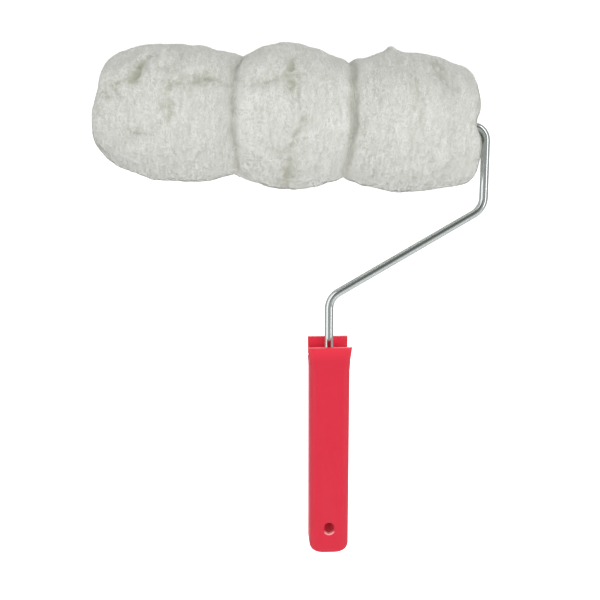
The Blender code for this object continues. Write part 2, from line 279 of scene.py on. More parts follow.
tone_drift, drift_in, drift_out = make_group(
    "Tone drift",
    [("Colour", COLOUR, (0.5, 0.5, 0.5, 1.0)), ("Other colour", COLOUR, (0.5, 0.5, 0.5, 1.0)),
     ("Patch size", FLOAT, 20.0), ("Amount", FLOAT, 0.5)],
    [("Colour", COLOUR)],
)
drift_noise = add_node(
    tone_drift, "ShaderNodeTexNoise", Vector=stretched_place(tone_drift, (1.0, 1.0, 1.0)),
    Scale=drift_in.outputs["Patch size"], Detail=4.0, Roughness=0.6)
drift_share = maths(tone_drift, "MULTIPLY", drift_noise.outputs["Fac"], drift_in.outputs["Amount"])
tone_drift.links.new(
    blend_colours(tone_drift, drift_share, drift_in.outputs["Colour"],
                  drift_in.outputs["Other colour"]),
    drift_out.inputs["Colour"])

# %% Fine grain: roughness that varies, and a shallow relief
fine_grain, grain_in, grain_out = make_group(
    "Fine grain",
    [("Stretch", VECTOR, (1.0, 1.0, 1.0)), ("Grains", FLOAT, 900.0),
     ("Roughness", FLOAT, 0.4), ("Spread", FLOAT, 0.1)],
    [("Roughness", FLOAT), ("Height", FLOAT)],
)
grain_noise = add_node(
    fine_grain, "ShaderNodeTexNoise", Vector=stretched_place(fine_grain, grain_in.outputs["Stretch"]),
    Scale=grain_in.outputs["Grains"], Detail=3.0, Roughness=0.55)
grain_centred = maths(fine_grain, "SUBTRACT", grain_noise.outputs["Fac"], 0.5)
fine_grain.links.new(
    maths(fine_grain, "MULTIPLY_ADD", grain_centred, grain_in.outputs["Spread"],
          grain_in.outputs["Roughness"]),
    grain_out.inputs["Roughness"])
fine_grain.links.new(grain_noise.outputs["Fac"], grain_out.inputs["Height"])

# %% Scuffs: short, thin rub marks
scuffs, scuff_in, scuff_out = make_group(
    "Scuffs",
    [("Stretch", VECTOR, (1.0, 1.0, 1.0)), ("Marks", FLOAT, 90.0), ("Rarity", FLOAT, 0.7)],
    [("Mask", FLOAT)],
)
scuff_place = stretched_place(scuffs, scuff_in.outputs["Stretch"])
scuff_lines = add_node(
    scuffs, "ShaderNodeTexNoise", Vector=scuff_place, Scale=scuff_in.outputs["Marks"],
    Detail=2.0, Distortion=1.5)
scuff_patches = add_node(
    scuffs, "ShaderNodeTexNoise", Vector=scuff_place, Scale=35.0, Detail=1.0)
scuff_thin = maths(scuffs, "ABSOLUTE", maths(scuffs, "SUBTRACT", scuff_lines.outputs["Fac"], 0.5))
scuff_thin = add_node(
    scuffs, "ShaderNodeMapRange", Value=scuff_thin, From_Min=0.0, From_Max=0.022,
    To_Min=1.0, To_Max=0.0).outputs["Result"]
scuff_where = add_node(
    scuffs, "ShaderNodeMapRange", Value=scuff_patches.outputs["Fac"],
    From_Min=scuff_in.outputs["Rarity"], From_Max=0.95, To_Min=0.0, To_Max=1.0).outputs["Result"]
scuffs.links.new(maths(scuffs, "MULTIPLY", scuff_thin, scuff_where), scuff_out.inputs["Mask"])
print("node groups:", [group.name for group in bpy.data.node_groups])


# %% Finish helpers
def new_finish(name, roughness, metallic=0.0):
    """A material, its node tree and its Principled shader."""
    material = bpy.data.materials.new(name)
    material.use_nodes = True
    shader = material.node_tree.nodes["Principled BSDF"]
    shader.inputs["Roughness"].default_value = roughness
    shader.inputs["Metallic"].default_value = metallic
    return material, material.node_tree, shader


def use_group(tree, group, **inputs):
    node = tree.nodes.new("ShaderNodeGroup")
    node.node_tree = group
    for label, value in inputs.items():
        feed(tree, value, node.inputs[label.replace("_", " ")])
    return node


def relief_on(tree, shader, height, strength, distance):
    """Turns a height pattern into relief on a shader."""
    bump = add_node(tree, "ShaderNodeBump", Strength=strength, Distance=distance, Height=height)
    tree.links.new(bump.outputs["Normal"], shader.inputs["Normal"])


GRAIN_DEPTH = 0.05 * MM
SCUFF_RARITY = 0.62


def hard_finish(name, colour, other, roughness, spread, patch, grains, stretch=(1.0, 1.0, 1.0),
                metallic=0.0, bump=0.15):
    """A hard surface: drifting tone, fine grain and a few paler scuffs."""
    material, tree, shader = new_finish(name, roughness, metallic)
    drift = use_group(tree, tone_drift, Colour=(*colour, 1.0), Other_colour=(*other, 1.0),
                      Patch_size=patch, Amount=0.9)
    grain = use_group(tree, fine_grain, Stretch=stretch, Grains=grains, Roughness=roughness,
                      Spread=spread)
    marks = use_group(tree, scuffs, Stretch=stretch, Rarity=SCUFF_RARITY)
    pale = (*(min(value * 1.25 + 0.03, 1.0) for value in colour), 1.0)
    tree.links.new(
        blend_colours(tree, maths(tree, "MULTIPLY", marks.outputs["Mask"], 0.5),
                      drift.outputs["Colour"], pale),
        shader.inputs["Base Color"])
    tree.links.new(
        maths(tree, "ADD", grain.outputs["Roughness"],
              maths(tree, "MULTIPLY", marks.outputs["Mask"], 0.15)),
        shader.inputs["Roughness"])
    relief_on(tree, shader, grain.outputs["Height"], bump, GRAIN_DEPTH)
    return material


# %% Hard finishes
# Values in order: two tones, roughness and its spread, patches and grains per metre.
red_plastic = hard_finish(
    "red_plastic", (0.67, 0.010, 0.040), (0.61, 0.007, 0.031), 0.42, 0.18, 28.0, 1400.0)
zinc = hard_finish(
    "zinc_rod", (0.64, 0.68, 0.66), (0.54, 0.58, 0.57), 0.14, 0.14, 60.0, 700.0,
    metallic=1.0, bump=0.1)
spring_steel = hard_finish(
    "spring_steel", (0.50, 0.51, 0.52), (0.38, 0.39, 0.41), 0.34, 0.2, 90.0, 1200.0, metallic=1.0)
white_plastic = hard_finish(
    "white_plastic", (0.78, 0.78, 0.74), (0.66, 0.66, 0.60), 0.42, 0.2, 70.0, 1300.0)
nylon = hard_finish(
    "nylon", (0.80, 0.77, 0.68), (0.72, 0.68, 0.57), 0.38, 0.2, 90.0, 1300.0)
grey_tube = hard_finish(
    "grey_tube", (0.40, 0.38, 0.35), (0.30, 0.28, 0.25), 0.75, 0.2, 50.0, 600.0, (1.0, 4.0, 4.0))
hide_leather = hard_finish(
    "hide", (0.70, 0.60, 0.45), (0.55, 0.45, 0.32), 0.85, 0.2, 80.0, 500.0, bump=0.4)
thread_cotton = hard_finish(
    "thread", (0.80, 0.77, 0.68), (0.66, 0.62, 0.52), 0.9, 0.1, 120.0, 2500.0, bump=0.5)
print("materials so far:", len(bpy.data.materials))

# %% [markdown]
# ## Dressing a piece
# Each new piece gets its finish and the body that it moves with, and it hides the plain nodes that
# it stands for. The small hidden parts of the bearing already have their true shapes, so they keep
# them and only take a better finish.

# %% Dressing
def dress(obj, material, body, slot, *replaced):
    """Gives a piece its finish and its body, and hides the plain nodes it stands for. Its slot is not
    used.
    """
    obj.data.materials.clear()
    obj.data.materials.append(material)
    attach(obj, body)
    if replaced:
        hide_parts(*replaced)
    return obj


def link_object(name, data):
    """A new object in the scene for a mesh."""
    obj = bpy.data.objects.new(name, data)
    bpy.context.scene.collection.objects.link(obj)
    return obj


def shade_round(mesh, sharp_angle=40.0):
    """Smooth shading that stops at every edge sharper than an angle in degrees."""
    mesh.shade_smooth()
    mesh.set_sharp_from_angle(angle=math.radians(sharp_angle))


def finish_node(name, material):
    """A node of the model keeps its shape and takes a better finish and smooth shading."""
    for slot in nodes[name].material_slots:
        slot.material = material
    shade_round(nodes[name].data)


FINISHES = (
    ("core_tube", grey_tube, ("",)),
    ("end_cap", white_plastic, ("_left", "_right")),
    ("bush", nylon, ("_left", "_right")),
    ("washer", spring_steel, ("_left", "_right")),
    ("stop_collar", zinc, ("",)),
    ("retaining_nut", spring_steel, ("",)),
    ("hide", hide_leather, ("_left", "_middle", "_right")),
    ("butt_seam", thread_cotton, ("_left", "_middle", "_right")),
    ("waist_seam", thread_cotton, ("_left", "_right")),
)
for part, material, ends in FINISHES:
    for end in ends:
        finish_node(part + end, material)

# %% [markdown]
# ## The rod
# One length of quarter-inch rod is bent three times, so its centre line is a route of straight
# runs and arcs. Sweeping a round section along that route gives the same even bends that a bending
# tool gives. An extra ring close to each end keeps the smooth shading level along the straights.

# %% The rod
rod_low, rod_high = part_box("frame_rod")
ROD_RADIUS = (rod_high.y - rod_low.y) / 2
SIDE_RUN_X = rod_high.x - ROD_RADIUS
LOWER_BEND = Vector((0.0, 0.0, 111.6 * MM))
UPPER_BEND = Vector((SIDE_RUN_X, 0.0, 175.4 * MM))
ELBOW_RADIUS = 13.5 * MM
AXLE_BEND_RADIUS = 10.0 * MM
ROD_SIDES = 40
BEND_STEPS = 24


def bend_points(before, corner, after, radius):
    """The arc that rounds one corner of a route."""
    into = (corner - before).normalized()
    out = (after - corner).normalized()
    turn = into.angle(out)
    start = corner - into * radius * math.tan(turn / 2)
    inward = (out - into * into.dot(out)).normalized()
    centre = start + inward * radius
    arc = []
    for step in range(BEND_STEPS + 1):
        angle = turn * step / BEND_STEPS
        arc.append(centre + (into * math.sin(angle) - inward * math.cos(angle)) * radius)
    return arc


def sweep(name, route, radius, sides, end_round):
    """A round bar along a route that lies in the XZ plane, with slightly rounded ends."""
    rings = []
    last = len(route) - 1
    for index, point in enumerate(route):
        direction = (route[min(index + 1, last)] - route[max(index - 1, 0)]).normalized()
        across = direction.cross(Vector((0.0, 1.0, 0.0))).normalized()
        ends = [(0.0, 1.0)]
        if index == 0:
            ends = [(-end_round, 0.8), (-end_round * 0.3, 0.95), (0.0, 1.0)]
        if index == last:
            ends = [(0.0, 1.0), (end_round * 0.3, 0.95), (end_round, 0.8)]
        for shift, share in ends:
            ring = []
            for side in range(sides):
                angle = 2 * math.pi * side / sides
                spoke = across * math.cos(angle) + Vector((0.0, 1.0, 0.0)) * math.sin(angle)
                ring.append(point + direction * shift + spoke * radius * share)
            rings.append(ring)
    return loft(name, rings)


def finish_mesh(name, bm):
    """A mesh from a construction mesh, which is then freed."""
    mesh = bpy.data.meshes.new(name)
    bm.to_mesh(mesh)
    bm.free()
    return mesh


def loft(name, rings):
    """A closed skin through rings of equal point counts, with a cap on each end ring."""
    bm = bmesh.new()
    loops = [[bm.verts.new(point) for point in ring] for ring in rings]
    for lower, upper in zip(loops, loops[1:]):
        for i in range(len(lower)):
            j = (i + 1) % len(lower)
            bm.faces.new((lower[i], lower[j], upper[j], upper[i]))
    bm.faces.new(loops[0])
    bm.faces.new(loops[-1])
    bmesh.ops.recalc_face_normals(bm, faces=bm.faces)
    return finish_mesh(name, bm)


END_ROUND = 0.5 * MM
tang = Vector((0.0, 0.0, rod_low.z + END_ROUND))
axle_start = Vector(AXLE_CENTRE + ALONG * SIDE_RUN_X / ALONG[0])
axle_end = Vector(AXLE_CENTRE + ALONG * (place_on_axle("frame_rod")[0] + END_ROUND))
route = [tang, tang + Vector((0.0, 0.0, MM))]
route += bend_points(tang, LOWER_BEND, UPPER_BEND, ELBOW_RADIUS)
route += bend_points(LOWER_BEND, UPPER_BEND, axle_start, ELBOW_RADIUS)
route += bend_points(UPPER_BEND, axle_start, axle_end, AXLE_BEND_RADIUS)
route += [axle_end + Vector(ALONG * MM), axle_end]
rod_mesh = sweep("bent_rod", route, ROD_RADIUS, ROD_SIDES, END_ROUND)
shade_round(rod_mesh, 50.0)
dress(link_object("bent_rod", rod_mesh), zinc, "frame", "zinc_rod", "frame_rod")
print("rod faces:", len(rod_mesh.polygons))

# %% [markdown]
# ## The handle
# The handle is one injection moulding. Its outside is a soft rectangle, rounded over at the
# bottom, and its flared head opens into two lips, the front one shorter. A loft gives the
# outside, Booleans cut what the mould's cores leave empty, and a small bevel on every edge does what
# a real mould does: nothing on a moulding is perfectly sharp.

# %% Handle sizes
# The box and these few sizes give every section of the moulding.
handle_low, handle_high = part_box("handle")
HANDLE_HALF_LENGTH = (handle_high.z - handle_low.z) / 2
HEAD_FLARE_X = 1.6 * MM
HEAD_FLARE_Y = 0.8 * MM
HALF_WIDTH = handle_high.x - HEAD_FLARE_X
HALF_DEPTH = handle_high.y - HEAD_FLARE_Y
SIDE_CORNER = 5.5 * MM
HEAD_CORNER = 2.6 * MM
HEAD_LENGTH = 20.0 * MM
HEAD_STEPS = 14
FLARE_CURVE = 1.1
BOTTOM_ROUND = 7.0 * MM
BOTTOM_STEP_DEGREES = 9
FACE_ROUND = 3.0 * MM
FORK_DEPTH = 13.5 * MM
FRONT_LIP_DROP = 1.9 * MM
FORK_HALF_GAP = 11.2 * MM
BACK_LIP_HALF_WIDTH = 14.5 * MM
BOSS_RADIUS = 6.5 * MM
BOSS_HEIGHT = 5.0 * MM
SOCKET_RADII = (9.6 * MM, 9.0 * MM)
SOCKET_DEPTH = 54.0 * MM
SLOT_HEIGHT = -60.1 * MM
SLOT_HALF = (3.4 * MM, 4.4 * MM)
SLOT_CHAMFER = 0.7 * MM
SEAM_HALF_WIDTH = 0.35 * MM
SEAM_PROUD = 0.09 * MM
EDGE_BEVEL = 0.35 * MM
BEVEL_ABOVE_DEGREES = 32.0


def soft_rectangle(half_x, half_y, corner, steps=10, seam=0.0):
    """Points round a rounded rectangle, with the mould's parting line along each side."""
    points = []
    for quarter, (side_x, side_y) in enumerate(((1, 1), (-1, 1), (-1, -1), (1, -1))):
        for step in range(steps + 1):
            angle = math.radians(90.0 * (quarter + step / steps))
            x = side_x * (half_x - corner) + corner * math.cos(angle)
            y = side_y * (half_y - corner) + corner * math.sin(angle)
            points.append((x, y))
        if seam and quarter in (1, 3):
            down = 1 if quarter == 1 else -1
            for share, proud in ((2.0, 0.0), (0.8, seam), (-0.8, seam), (-2.0, 0.0)):
                points.append((-down * (half_x + proud), down * share * SEAM_HALF_WIDTH))
    return points


def handle_levels():
    """Height, half width, half depth and corner of each section, from the bottom up."""
    levels = []
    for degrees in range(0, 91, BOTTOM_STEP_DEGREES):
        angle = math.radians(degrees)
        rise = BOTTOM_ROUND * (1 - math.cos(angle))
        edge = max(FACE_ROUND - rise, 0.0)
        levels.append((
            -HANDLE_HALF_LENGTH + rise,
            HALF_WIDTH - BOTTOM_ROUND * (1 - math.sin(angle)),
            HALF_DEPTH - FACE_ROUND + math.sqrt(FACE_ROUND ** 2 - edge ** 2),
            SIDE_CORNER,
        ))
    for step in range(HEAD_STEPS + 1):
        part = step / HEAD_STEPS
        flare = part ** FLARE_CURVE
        levels.append((
            HANDLE_HALF_LENGTH - HEAD_LENGTH * (1 - part),
            HALF_WIDTH + HEAD_FLARE_X * flare, HALF_DEPTH + HEAD_FLARE_Y * flare,
            SIDE_CORNER + (HEAD_CORNER - SIDE_CORNER) * flare,
        ))
    return levels


# %% [markdown]
# ### Two places where light is painted into the red
# The head's lips are thin enough for light to pass through them, so a painted glow makes their red
# paler towards the top. The lower edge of the hanging slot gets a painted highlight, a paler red
# where light from above catches it. Both are masks worked out from a point's own place on the handle.

# %% Painted glow on the lips and a painted highlight on the slot
# Painted glow: the lips' red pales towards the top, as light passing through thin plastic would make
# it.
LIP_GLOW_RED = (0.80, 0.022, 0.052, 1.0)
LIP_GLOW_FADE = (12.0 * MM, 2.0 * MM)
LIP_GLOW_SHARE = 0.8
# Painted highlight: paler red along the slot's lower edge, where light from above would catch it.
SLOT_HIGHLIGHT_RED = (0.95, 0.34, 0.36, 1.0)
SLOT_HIGHLIGHT_FADE = (0.9 * MM, 2.4 * MM)
SLOT_HIGHLIGHT_EDGE = 0.2 * MM

red_tree = red_plastic.node_tree
red_socket = red_tree.nodes["Principled BSDF"].inputs["Base Color"]
red_place = add_node(red_tree, "ShaderNodeTexCoord")
red_axes = add_node(red_tree, "ShaderNodeSeparateXYZ", Vector=red_place.outputs["Object"])
slot_foot = SLOT_HEIGHT - SLOT_HALF[1] + SLOT_HALF[0]
slot_rim = SLOT_HALF[0] + SLOT_CHAMFER
below_foot = maths(red_tree, "SUBTRACT", slot_foot, red_axes.outputs["Z"])
across_squared = maths(red_tree, "MULTIPLY", red_axes.outputs["X"], red_axes.outputs["X"])
from_foot = maths(
    red_tree, "SQRT", maths(red_tree, "MULTIPLY_ADD", below_foot, below_foot, across_squared))


def fade_between(value, start, end, first, last):
    """A mask on the handle that goes from one share to another between two places."""
    return add_node(red_tree, "ShaderNodeMapRange", Value=value, From_Min=start, From_Max=end,
                    To_Min=first, To_Max=last).outputs["Result"]


LIP_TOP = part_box("handle")[1].z
# Painted glow mask: paler towards the top of the lips.
painted_lip_glow_mask = fade_between(
    red_axes.outputs["Z"], LIP_TOP - LIP_GLOW_FADE[0], LIP_TOP - LIP_GLOW_FADE[1], 0.0, LIP_GLOW_SHARE)
near_rim = fade_between(from_foot, slot_rim, slot_rim + SLOT_HIGHLIGHT_EDGE, 1.0, 0.0)
low_side = fade_between(below_foot, SLOT_HIGHLIGHT_FADE[0], SLOT_HIGHLIGHT_FADE[1], 0.0, 1.0)
# Painted highlight mask: near the slot's rim and on its lower side.
painted_slot_highlight_mask = maths(red_tree, "MULTIPLY", near_rim, low_side)
# Both painted lights blend a paler red into the plastic's own colour.
for mask, paler in ((painted_lip_glow_mask, LIP_GLOW_RED), (painted_slot_highlight_mask, SLOT_HIGHLIGHT_RED)):
    plain_red = red_socket.links[0].from_socket
    feed(red_tree, blend_colours(red_tree, mask, plain_red, paler), red_socket)

# %% Handle shape
def block(name, low, high):
    """A box between two corners."""
    bm = bmesh.new()
    size, centre = Vector(high) - Vector(low), (Vector(high) + Vector(low)) / 2
    bmesh.ops.create_cube(
        bm, size=1.0, matrix=Matrix.Translation(centre) @ Matrix.Diagonal((*size, 1.0)))
    return finish_mesh(name, bm)


def round_block(name, bottom_radius, top_radius, bottom, top, segments=72):
    """An upright round block on the handle's own axis."""
    bm = bmesh.new()
    bmesh.ops.create_cone(
        bm, cap_ends=True, segments=segments, radius1=bottom_radius, radius2=top_radius,
        depth=top - bottom, matrix=Matrix.Translation((0.0, 0.0, (top + bottom) / 2)))
    return finish_mesh(name, bm)


def slot_rings():
    """The hanging slot, wider by a chamfer at both faces."""
    rings = []
    for depth, spread in (
        (-HALF_DEPTH - 2 * SLOT_CHAMFER, 3 * SLOT_CHAMFER), (-HALF_DEPTH + SLOT_CHAMFER, 0.0),
        (HALF_DEPTH - SLOT_CHAMFER, 0.0), (HALF_DEPTH + 2 * SLOT_CHAMFER, 3 * SLOT_CHAMFER),
    ):
        half_x, half_z = (half + spread for half in SLOT_HALF)
        section = soft_rectangle(half_x, half_z, half_x - 0.01 * MM, 12)
        rings.append([Vector((x, depth, z + SLOT_HEIGHT)) for x, z in section])
    return rings


def cut(obj, mesh, operation="DIFFERENCE"):
    """Cuts a shape out of an object, or joins it on."""
    cutter = link_object(mesh.name, mesh)
    cutter.hide_render = True
    modifier = obj.modifiers.new(mesh.name, "BOOLEAN")
    modifier.operation = operation
    modifier.solver = "EXACT"
    modifier.object = cutter
    return cutter


def settle(obj, cutters):
    """Applies an object's modifiers and removes its cutters."""
    bpy.context.view_layer.update()
    evaluated = obj.evaluated_get(bpy.context.evaluated_depsgraph_get())
    mesh = bpy.data.meshes.new_from_object(evaluated)
    obj.modifiers.clear()
    obj.data = mesh
    for cutter in cutters:
        bpy.data.objects.remove(cutter, do_unlink=True)
    return obj


handle_rings = []
for height, half_x, half_y, corner in handle_levels():
    section = soft_rectangle(half_x, half_y, corner, 10, SEAM_PROUD)
    handle_rings.append([Vector((x, y, height)) for x, y in section])
moulded_handle = link_object("moulded_handle", loft("moulded_handle", handle_rings))
fork_floor = HANDLE_HALF_LENGTH - FORK_DEPTH
above = HANDLE_HALF_LENGTH + 5 * MM
wide = 2 * HALF_WIDTH
cutters = [cut(moulded_handle, block(
    "fork_gap", (-wide, -FORK_HALF_GAP, fork_floor), (wide, FORK_HALF_GAP, above)))]
for side in (-1, 1):
    near, far = sorted((side * BACK_LIP_HALF_WIDTH, side * wide))
    cutters.append(cut(moulded_handle, block(
        "lip_trim", (near, FORK_HALF_GAP - MM, fork_floor), (far, wide, above))))
cutters.append(cut(moulded_handle, block(
    "front_lip_trim", (-wide, -wide, HANDLE_HALF_LENGTH - FRONT_LIP_DROP), (wide, 0.0, above))))
cutters.append(cut(moulded_handle, round_block(
    "rod_boss", BOSS_RADIUS, BOSS_RADIUS, fork_floor - 5 * MM, fork_floor + BOSS_HEIGHT), "UNION"))
cutters.append(cut(moulded_handle, round_block(
    "rod_bore", ROD_RADIUS + 0.05 * MM, ROD_RADIUS + 0.05 * MM, rod_low.z - 0.3 * MM, above)))
cutters.append(cut(moulded_handle, round_block(
    "pole_socket", SOCKET_RADII[0], SOCKET_RADII[1], handle_low.z - MM,
    handle_low.z + SOCKET_DEPTH)))
cutters.append(cut(moulded_handle, loft("hang_slot", slot_rings())))
settle(moulded_handle, cutters)
rounding = moulded_handle.modifiers.new("Edges", "BEVEL")
rounding.width = EDGE_BEVEL
rounding.segments = 3
rounding.limit_method = "ANGLE"
rounding.angle_limit = math.radians(BEVEL_ABOVE_DEGREES)
rounding.use_clamp_overlap = True
settle(moulded_handle, [])
shade_round(moulded_handle.data, 30.0)
dress(moulded_handle, red_plastic, "frame", "red_plastic", "handle")
print("handle faces:", len(moulded_handle.data.polygons))

# %% [markdown]
# ## The wool
# A sheepskin cover has a pile about two centimetres deep. Seen from a short way off it is not single
# hairs but a soft mass: lobes, creases and small locks of fibre that all lie the way the last
# stroke combed them. It is made in two layers. The first is a closed skin that has the mass's
# true form, with its lumps, creases and partings. The second is a coat of fine tapering fibres
# that grow from that skin. Particle hair would be quicker, but it isn't a mesh and can't be
# exported or handed on, so the fibres are made directly.
#
# Wool's lumps have to be random but the same each time, so the noise comes from a small hash of
# the cell that a point falls in.

# %% Noise over points in space
TWO_PI = 2 * math.pi


def cell_number(cells, seed):
    """A repeatable number from 0 to 1 for each whole-number cell."""
    mixed = cells[..., 0] * 73856093 ^ cells[..., 1] * 19349663 ^ cells[..., 2] * 83492791
    mixed = (mixed + seed * 40503) & 0xFFFFFFFF
    for _ in range(2):
        mixed = ((mixed ^ (mixed >> 15)) * 73244475) & 0xFFFFFFFF
    return (mixed ^ (mixed >> 16)) / 0xFFFFFFFF


def soft_noise(points, size, seed):
    """Smooth noise from -1 to 1, with lumps about the given size."""
    grid = points / size
    base = np.floor(grid).astype(np.int64)
    part = grid - base
    part = part * part * (3 - 2 * part)
    total = np.zeros(points.shape[:-1])
    for corner in np.ndindex(2, 2, 2):
        weight = np.prod(np.where(corner, part, 1 - part), axis=-1)
        total += weight * cell_number(base + np.array(corner), seed)
    return 2 * total - 1


def layered_noise(points, size, seed, layers=3):
    """Noise with finer and fainter layers on top of each other."""
    total = np.zeros(points.shape[:-1])
    for layer in range(layers):
        total += soft_noise(points, size / 2 ** layer, seed + layer) / 2 ** layer
    return total / 1.5


def bell(distance, width):
    """A smooth bump that is 1 at no distance and fades beyond the width."""
    return np.exp(-(distance / width) ** 2)


def turn_from(angle, degrees):
    """The shortest turn to an angle (radians) from a direction given in degrees."""
    return (angle - math.radians(degrees) + math.pi) % TWO_PI - math.pi

# %% [markdown]
# ### The outline of the cover
# Each band bulges in the middle and is pulled in where it is sewn to the next, and the two outer
# bands close in round the ends of the core. A few listed points set the outline, as
# millimetres along the axle and out from it, and a smooth curve runs through them. One outline
# serves all three bands, so that fibres can cross a waist and hide the sewing.

# %% Outline
OUTLINE = [
    (-153.8, 15.0), (-157.5, 13.4), (-160.3, 15.5), (-160.6, 20), (-157.8, 26.5), (-151.5, 33.2),
    (-142, 38.2), (-130, 42.9), (-116, 45.6), (-100, 46.3), (-86, 45.4), (-74, 43.1), (-67, 41.3),
    (-64.5, 40.6), (-63, 40.3), (-61.5, 40.7), (-58.5, 41.9), (-53, 43.9), (-45, 46.6), (-36, 48.8),
    (-26, 49.2), (-16, 47.7), (-8, 45.5), (0, 43.0), (6, 41.3), (9.4, 40.2), (11, 39.8),
    (12.6, 40.2), (16, 41.3), (24, 43.4), (32, 45.4), (41, 47.1), (50, 47.6), (60, 47),
    (70, 45.2), (80, 42.1), (90, 39.4), (95.5, 36.6), (99, 32.6), (101.4, 26.5), (102, 20),
    (101.4, 15.5), (99.4, 13.4), (96.8, 15.0),
]
PROFILE_STEP = 0.05
CURVE_STEPS = 60


def smooth_outline(points):
    """A Catmull-Rom curve through the points, cut into even short steps (mm)."""
    points = np.array(points, float)
    padded = np.vstack([2 * points[0] - points[1], points, 2 * points[-1] - points[-2]])
    share = np.linspace(0.0, 1.0, CURVE_STEPS, endpoint=False)[:, None]
    pieces = []
    for p0, p1, p2, p3 in zip(padded, padded[1:], padded[2:], padded[3:]):
        pieces.append(0.5 * (
            2 * p1 + (p2 - p0) * share + (2 * p0 - 5 * p1 + 4 * p2 - p3) * share ** 2
            + (3 * p1 - p0 - 3 * p2 + p3) * share ** 3))
    curve = np.vstack(pieces + [points[-1:]])
    travelled = np.concatenate([[0.0], np.cumsum(np.linalg.norm(np.diff(curve, axis=0), axis=1))])
    even = np.linspace(0.0, travelled[-1], int(travelled[-1] / PROFILE_STEP))
    along, radius = (np.interp(even, travelled, curve[:, axis]) for axis in (0, 1))
    return even, along, radius


WAISTS = [
    (place_on_axle(left)[1] + place_on_axle(right)[0]) / 2 / MM
    for left, right in (("pile_left", "pile_middle"), ("pile_middle", "pile_right"))
]
print("waists at", [round(waist, 1) for waist in WAISTS], "mm")

# %% [markdown]
# ### Creases and partings
# Where the wool has been pressed or pulled apart it shows a crease: a soft groove, yellower because
# it shows the roots and darker with painted shade. Each one is a short line of points given as
# millimetres along the axle and degrees round it from the front, with its width and depth in
# millimetres. Noise makes the line waver and lets it fade in and out, because no parting in wool is
# a clean cut.

# %% Creases
CREASES = [
    # width, depth, root tint and painted shade, points
    (2.0, 3.0, 1.0, [(-124, 58), (-129, 48), (-130, 39), (-133, 32)]),
    (1.8, 1.6, 0.8, [(-146, 33), (-137, 34), (-127, 31)]),
    (1.3, 1.4, 0.6, [(-147, 36), (-145, 28), (-142, 18)]),
    (1.2, 1.2, 0.6, [(-153, 26), (-148, 16)]),
    (2.4, 1.8, 0.4, [(-116, 46), (-106, 42)]),
    (2.6, 2.8, 0.7, [(-108, 29), (-100, 31), (-92, 31), (-84, 35), (-66, 37)]),
    (2.0, 2.6, 0.8, [(-107, 34), (-109, 20), (-108, 10), (-110, -3)]),
    (1.8, 0.6, 0.1, [(-109, -1), (-107, -22), (-103, -40)]),
    (1.7, 1.8, 0.6, [(-137, -14), (-126, -19)]),
    (2.2, 2.4, 0.9, [(-50, 33), (-42, 36), (-32, 40), (-22, 40)]),
    (1.9, 2.2, 1.0, [(-27, 58), (-31, 47), (-34, 37)]),
    (2.2, 2.0, 1.0, [(-34, 39), (-29, 30), (-25, 20)]),
    (1.6, 1.0, 0.5, [(-25, 22), (-22, 4), (-26, -10), (-23, -22)]),
    (2.6, 1.4, 0.8, [(-28, -24), (-31, -48), (-32, -74)]),
    (1.6, 1.0, 0.5, [(-42, -20), (-35, -22), (-28, -18)]),
    (2.8, 1.5, 0.25, [(40, 70), (48, 46), (53, 26), (53, 8)]),
    (1.8, 1.2, 0.2, [(53, 12), (50, -4), (52, -24)]),
    (3.2, 2.8, 0.5, [(66, 72), (69, 56), (74, 44)]),
    (1.4, 0.9, 0.3, [(58, -44), (56, -52)]),
    (2.2, 2.0, 0.8, [(-120, 150), (-104, 143), (-88, 149)]),
    (2.0, 1.4, 0.5, [(-104, 143), (-106, 170), (-100, 200), (-104, 228)]),
    (2.2, 1.8, 0.8, [(-40, 160), (-28, 168), (-14, 161)]),
    (2.0, 1.4, 0.5, [(-28, 168), (-24, 195), (-29, 230)]),
    (2.2, 1.6, 0.6, [(40, 128), (52, 150), (48, 182), (53, 215)]),
    (2.4, 1.8, 0.7, [(66, 196), (78, 203), (88, 196)]),
    (2.2, 1.4, 0.5, [(-130, 258), (-112, 264), (-92, 256)]),
    (2.0, 1.4, 0.5, [(-44, 268), (-30, 262), (-16, 270)]),
    (2.2, 1.2, 0.4, [(-118, 96), (-104, 88), (-88, 97)]),
]
CREASE_RADIUS = 46.0


